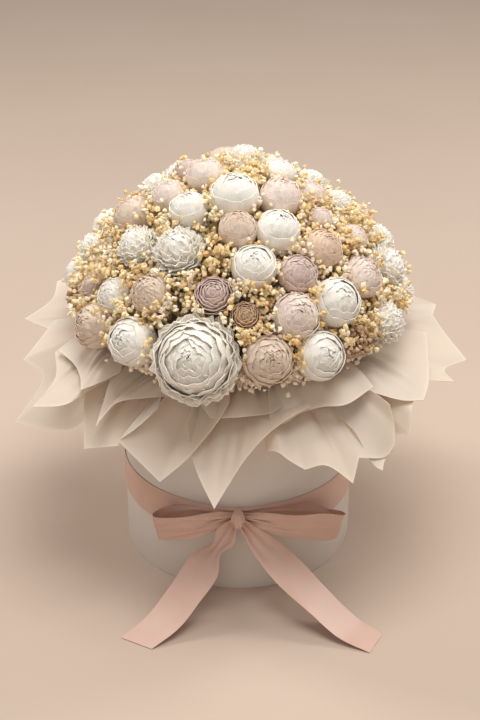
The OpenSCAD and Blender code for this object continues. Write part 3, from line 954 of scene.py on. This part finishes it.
# Folds that lie back over a sheet: its own film turned under itself, so its rim is long and plain.
turned_back = {
    "paper_sheet_1": (
        ((-96, -62), 6, 13, (0.0, 0.0)),
        [
            (-70, 189, 250, 0), (-61, 183, 248, 0), (-55, 186, 243, 0), (-51, 194, 238, 1),
            (-50, 177, 240, 0), (-49, 152, 244, 0),
        ],
    ),
    "paper_sheet_2": (
        ((-92, -54), 4, 7, (0.0, 0.0)),
        [
            (-73, 190, 243, 0), (-62, 202, 235, 0), (-56, 237, 225, 1), (-52, 213, 226, 0),
            (-52, 189, 230, 0), (-51, 152, 239, 0),
        ],
    ),
    "paper_sheet_3": (
        ((-58, -20), 4, 6, (0.0, 0.0)),
        [(-52, 156, 240, 0), (-44, 196, 208, 1), (-43, 172, 225, 0), (-34, 153, 232, 0), (-23, 144, 237, 0)],
    ),
    "paper_sheet_5": (
        ((-14, 22), 4, 5, (0.0, 0.0)),
        [(-16, 146, 240, 0), (-9, 163, 229, 1), (4, 160, 231, 0), (13, 158, 233, 0), (20, 148, 241, 0)],
    ),
    "paper_sheet_6": (
        ((10, 50), 5, 14, (-0.14, 0.0)),
        [
            (11, 160, 218, 0), (16, 166, 224, 0), (21, 165, 231, 0), (28, 169, 235, 0), (35, 180, 237, 0),
            (46, 180, 243, 0),
        ],
    ),
    "paper_sheet_7": (
        ((40, 84), 4, 6, (0.0, 0.0)),
        [
            (38, 142, 243, 0), (43, 154, 239, 0), (50, 200, 231, 0), (55, 218, 228, 1), (63, 209, 236, 0),
            (84, 192, 245, 0),
        ],
    ),
}


def smooth_path(points, steps):
    """A Catmull-Rom curve through the points, with its ends held."""
    points = np.array(points, float)
    padded = np.concatenate([2 * points[:1] - points[1:2], points, 2 * points[-1:] - points[-2:-1]])
    t = np.linspace(0, len(points) - 1, steps)
    i = np.minimum(t.astype(int), len(points) - 2)
    f = (t - i)[:, None]
    a, b, c, d = padded[i], padded[i + 1], padded[i + 2], padded[i + 3]
    return 0.5 * (2 * b + (c - a) * f + (2 * a - 5 * b + 4 * c - d) * f**2 + (3 * b - a - 3 * c + d) * f**3)


def run_length(points):
    """The distance along a path from its start to each of its points."""
    return np.concatenate([[0], np.cumsum(np.linalg.norm(np.diff(points, axis=0), axis=1))])


def free_edge(corners, tips, steps):
    """A curve through the corners that is smooth but at the cut tips, and each point's share of
    its length. It is a Catmull-Rom curve between one tip and the next."""
    ends = [0, *np.flatnonzero(tips[1:-1]) + 1, len(corners) - 1]
    length = run_length(corners)
    length = length / length[-1]
    arcs, shares = [], []
    for first, last in zip(ends[:-1], ends[1:]):
        count = max(4, round(steps * (length[last] - length[first])))
        arc = smooth_path(corners[first : last + 1], count)
        share = np.linspace(length[first], length[last], count)
        arcs.append(arc[1:] if first else arc)
        shares.append(share[1:] if first else share)
    return np.concatenate(arcs), np.concatenate(shares)


def film_sheet(pinned, layer, stand, rolls, edge):
    """A fan of straight rulings from an arc of the shoulder to the free edge, raised in its middle by
    a parabola and a ripple. Its sides are rolled: past the roll line, the sheet goes round a circle
    above or under it, whose radius grows towards the free edge."""
    azimuth, reach, height, tips = np.array(edge, float).T
    turn = np.radians(azimuth)
    corners = around(turn, reach, height) / 1000
    sharp, share = free_edge(corners, tips, sheet_columns)
    window = np.exp(-(((share[:, None] - share[None]) / smooth_share) ** 2))
    soft = window @ sharp / window.sum(axis=1, keepdims=True)
    turn = np.radians(pinned[0] + (pinned[1] - pinned[0]) * share)
    floor_z = root_height + layer * layer_gap
    root = around(turn, root_reach, floor_z)
    t = np.linspace(0, 1, sheet_rows)[:, None, None]
    edge_line = soft * (1 - t**2) + sharp * t**2
    fan = root * (1 - t) + edge_line * t
    ripple = 0.0014 * np.sin(share * 19 + 2 * layer + azimuth[0]) + 0.0008 * np.sin(share * 43 + azimuth[0])
    fan[..., 2] += (4 * t * (1 - t))[..., 0] * (stand / 1000 + ripple)
    over_rim = np.hypot(fan[..., 0], fan[..., 1]) < box_radius + rim_clearance
    fan[..., 2] = np.where(over_rim, np.maximum(fan[..., 2], floor_z), fan[..., 2])
    for width, side in zip(rolls, (0, 1)):
        if not width:
            continue
        flipped = fan[:, ::-1] if side else fan
        line = int(abs(width) * fan.shape[1])
        start = flipped[:, line : line + 1]
        ahead = flipped[:, line - 2 : line - 1] - start
        ahead = unit(ahead)
        up = np.cross(np.gradient(flipped[:, line], axis=0)[:, None], ahead) * (-1 if side else 1)
        up = np.sign(width) * unit(up)
        run = np.linalg.norm(flipped[:, :line] - start, axis=-1, keepdims=True)
        bend = tight_bend + (wide_bend - tight_bend) * t
        angle = np.minimum(run / bend, full_roll)
        flipped[:, :line] = start + bend * (np.sin(angle) * ahead + (1 - np.cos(angle)) * up)
    return fan


def put_film(name, node, shape):
    """A sheet of film with a number on each point that is 1 at its rim and 0 within."""
    points, faces = shells(shape[None], film_gauge)
    sheet = put_mesh(name, points, faces, film)
    rim = np.ones(shape.shape[:2])
    rim[1:-1, 1:-1] = 0
    put_value(sheet, "rim", np.tile(rim.reshape(-1), 2))
    hand_over(sheet, "arrangement", node)
    return sheet


def cut_size(shape):
    """The flat width, length and area of a sheet, from its own rows, columns and cells."""
    across = np.linalg.norm(np.diff(shape, axis=1), axis=-1).sum(axis=1).max()
    along = np.linalg.norm(np.diff(shape, axis=0), axis=-1).sum(axis=0).max()
    sides = np.cross(shape[1:, :-1] - shape[:-1, :-1], shape[:-1, 1:] - shape[:-1, :-1])
    area = np.linalg.norm(sides, axis=-1).sum()
    return (float(across), float(along)), float(area)


for node, (fixing, edge) in collar.items():
    shape = film_sheet(*fixing, edge)
    sheet = put_film(node + "_film", node, shape)
    flat, area = cut_size(shape)
for node, (fixing, edge) in turned_back.items():
    shape = film_sheet(*fixing, edge)
    fold = put_film(node + "_fold", node, shape)
    flat, area = cut_size(shape)

# ---- The ribbon --------------------------------------------------------------------------------------
# One length of dusty-rose satin goes round the box and is tied in front in a flat bow: two loops
# lie along the wall, the short end and the long end run down to the table. The knot pinches it.

satin = Finish(
    "satin",
    {
        "Roughness": 0.36,
        "Specular IOR Level": 0.5,
        "Sheen Weight": 0.35,
        "Sheen Roughness": 0.4,
        "Sheen Tint": chart(250, 222, 208),
        "Anisotropic": 0.4,
    },
)
satin_uv = satin.add("ShaderNodeTexCoord", {}, {}, "UV")
weft = satin.add(
    "ShaderNodeTexWave",
    {"wave_type": "BANDS", "bands_direction": "Y"},
    {"Vector": satin_uv, "Scale": 500.0, "Distortion": 1.0},
)
shade = satin.noise(45.0)
satin.colour(satin.between(shade, chart(210, 173, 157), chart(221, 187, 172)))
satin.roughness(0.32 + 0.12 * shade)
satin.relief(weft + 2.0 * satin.noise(80.0, 2.0), 0.12, 0.0003)

band_low, band_high = (np.array(corner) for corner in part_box("ribbon_band"))
ribbon_width = band_high[2] - band_low[2]
band_middle = (band_high[2] + band_low[2]) / 2
knot_low, knot_high = (np.array(corner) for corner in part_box("bow_knot"))
knot_middle = (knot_low + knot_high) / 2
ribbon_gauge = 0.0004


def ribbon_piece(name, node, front):
    """A strip of satin from its front, given as (row along, column across, place)."""
    shape, faces = shells(front[None], ribbon_gauge)
    piece = put_mesh(name, shape, faces, satin)
    rows, columns = front.shape[:2]
    run = run_length(front[:, columns // 2])
    uv = np.stack(np.meshgrid(np.linspace(0, ribbon_width, columns), run), axis=-1).reshape(-1, 2)
    put_uv(piece, np.tile(uv, (2, 1)), faces)
    hand_over(piece, "box", node)
    return piece


def pleats(across, along, depth, count=3.0):
    """Gathers that start at the knot and die away along the ribbon."""
    return depth * np.exp(-along / 0.022) * np.cos(np.pi * count * across)


# The band: it narrows and rises a little where the knot pinches it.
band_rows, band_columns = 241, 25
turn = np.linspace(-np.pi, np.pi, band_rows)[:, None]
across = np.linspace(-1, 1, band_columns)[None, :]
away = np.abs(turn) * box_radius
pinch = 1 - 0.62 * np.exp(-((away / 0.045) ** 2))
middle = band_middle + (knot_middle[2] - band_middle) * np.exp(-((away / 0.05) ** 2))
height = middle + across * pinch * ribbon_width / 2
swell = 0.0011 + 0.0022 * np.exp(-((away / 0.05) ** 2)) * (1 + np.cos(3 * np.pi * across)) / 2
band = around(turn, box_radius + swell, height)
band_piece = ribbon_piece("ribbon_band_satin", "ribbon_band", band[:, ::-1])

# A loop: out along the wall, round a soft bend and back behind itself. Each station is (azimuth,
# stand off the wall, drop, share of the width that lies flat, lean of the top edge outwards).
loop_rows, loop_columns = 110, 21
loops = {
    "bow_loop_left": (
        -1,
        [
            (2, 6, 0, 0.26, 0), (11, 14, 3, 0.60, 3), (24, 20, 11, 0.88, 8), (34, 19, 20, 0.86, 10),
            (38, 12, 24, 0.84, 6), (36, 6, 23, 0.86, 0), (26, 3, 13, 0.85, 0), (12, 3, 4, 0.55, 0),
            (2, 3, 0, 0.26, 0),
        ],
    ),
    "bow_loop_right": (
        1,
        [
            (2, 6, 0, 0.26, 0), (14, 15, 4, 0.66, 3), (30, 21, 13, 0.94, 8), (45, 20, 29, 0.92, 10),
            (51, 13, 37, 0.90, 6), (49, 6, 37, 0.92, 0), (34, 3, 18, 0.90, 0), (16, 3, 6, 0.60, 0),
            (2, 3, 0, 0.26, 0),
        ],
    ),
}
for node, (side, stations) in loops.items():
    azimuth, stand, drop, share, lean = smooth_path(stations, loop_rows).T[:, :, None]
    across = np.linspace(-1, 1, loop_columns)[None, :]
    from_knot = np.maximum(azimuth - 2, 0) * np.radians(1) * box_radius
    gather = np.exp(-from_knot / 0.034) * np.cos(3.4 * np.pi * across + 0.6 * side)
    reach = box_radius + (stand + lean * (across + 1) / 2) / 1000 + 0.0032 * gather
    height = knot_middle[2] - drop / 1000 + across * share * ribbon_width / 2
    height = height + 0.0012 * np.sin(5 * across + azimuth / 4)
    turn = side * np.radians(azimuth)
    loop = around(turn, reach, height)
    piece = ribbon_piece(node + "_satin", node, loop if side > 0 else loop[:, ::-1])

# The tails: places along each one, as (sideways, forwards, share fallen), the direction across,
# and the share of the width that lies flat.
tails = {
    "ribbon_tail_left": [
        ((-3, -3, 0.02), (0.5, -0.5, -0.7), 0.25),
        ((-12, -8, 0.15), (0.7, -0.5, -0.5), 0.62),
        ((-22, -13, 0.28), (0.5, -0.85, -0.1), 0.5),
        ((-33, -21, 0.43), (0.7, -0.65, -0.3), 0.95),
        ((-52, -38, 0.66), (0.75, -0.65, -0.1), 1.0),
        ((-74, -58, 0.88), (0.84, -0.54, 0), 1.0),
        ((-100, -78, 1), (0.87, -0.49, 0), 0.95),
    ],
    "ribbon_tail_right": [
        ((3, -3, 0.02), (-0.5, -0.5, -0.7), 0.25),
        ((24, -9, 0.26), (-0.55, -0.65, -0.5), 0.7),
        ((50, -24, 0.49), (-0.5, -0.8, -0.3), 1.0),
        ((80, -44, 0.72), (-0.5, -0.85, -0.1), 1.0),
        ((108, -62, 0.92), (-0.5, -0.87, 0), 1.0),
        ((136, -78, 1), (-0.45, -0.89, 0), 0.85),
    ],
}
tail_rows, tail_columns = 60, 17
lowest = 0.0009
for node, stations in tails.items():
    places = np.array([s[0] for s in stations], float)
    middle = np.stack(
        [
            places[:, 0] / 1000,
            knot_middle[1] + places[:, 1] / 1000,
            knot_middle[2] - places[:, 2] * (knot_middle[2] - lowest),
        ],
        axis=-1,
    )
    path = smooth_path(middle, tail_rows)
    path[:, 2] = np.maximum(path[:, 2], lowest)
    sideways = smooth_path([s[1] for s in stations], tail_rows)
    sideways = unit(sideways)
    half = smooth_path([[s[2]] for s in stations], tail_rows) * ribbon_width / 2
    across = np.linspace(-1, 1, tail_columns)
    strip = path[:, None] + sideways[:, None] * half[:, None] * across[None, :, None]
    if node.endswith("left"):
        strip = strip[:, ::-1]
    along = run_length(path)[:, None]
    strip = strip + facing(strip, 0) * pleats(across[None], along, 0.003, 2.5)[..., None]
    strip[..., 2] = np.maximum(strip[..., 2], lowest)
    tail = ribbon_piece(node + "_satin", node, strip)

# The knot: the ribbon's own turn over the gathers, a small wrinkled roll that stands upright.
knot_radius = (knot_high[0] - knot_low[0]) / 2
knot_rows, knot_columns = 33, 48
polar = np.linspace(0, np.pi, knot_rows)[:, None]
turn = np.linspace(0, 2 * np.pi, knot_columns, endpoint=False)[None, :]
wrinkle = 1 + 0.09 * np.sin(7 * turn + 3 * np.sin(polar)) * np.sin(polar)
wrinkle = wrinkle + 0.05 * np.sin(13 * turn + 5 * polar)
spindle = knot_radius * wrinkle * np.sin(polar) ** 0.7
knot_points = np.stack(
    [
        0.62 * spindle * np.cos(turn),
        0.72 * spindle * np.sin(turn),
        knot_radius * 0.95 * np.cos(polar) + 0 * turn,
    ],
    axis=-1,
)
at = np.arange(knot_rows * knot_columns).reshape(knot_rows, knot_columns)
ahead = np.roll(at, -1, axis=1)
knot_quads = np.stack([at[:-1], at[1:], ahead[1:], ahead[:-1]], axis=-1).reshape(-1, 4)
knot = put_mesh("bow_knot_satin", knot_points.reshape(-1, 3) + knot_middle, knot_quads, satin)
hand_over(knot, "box", "bow_knot")
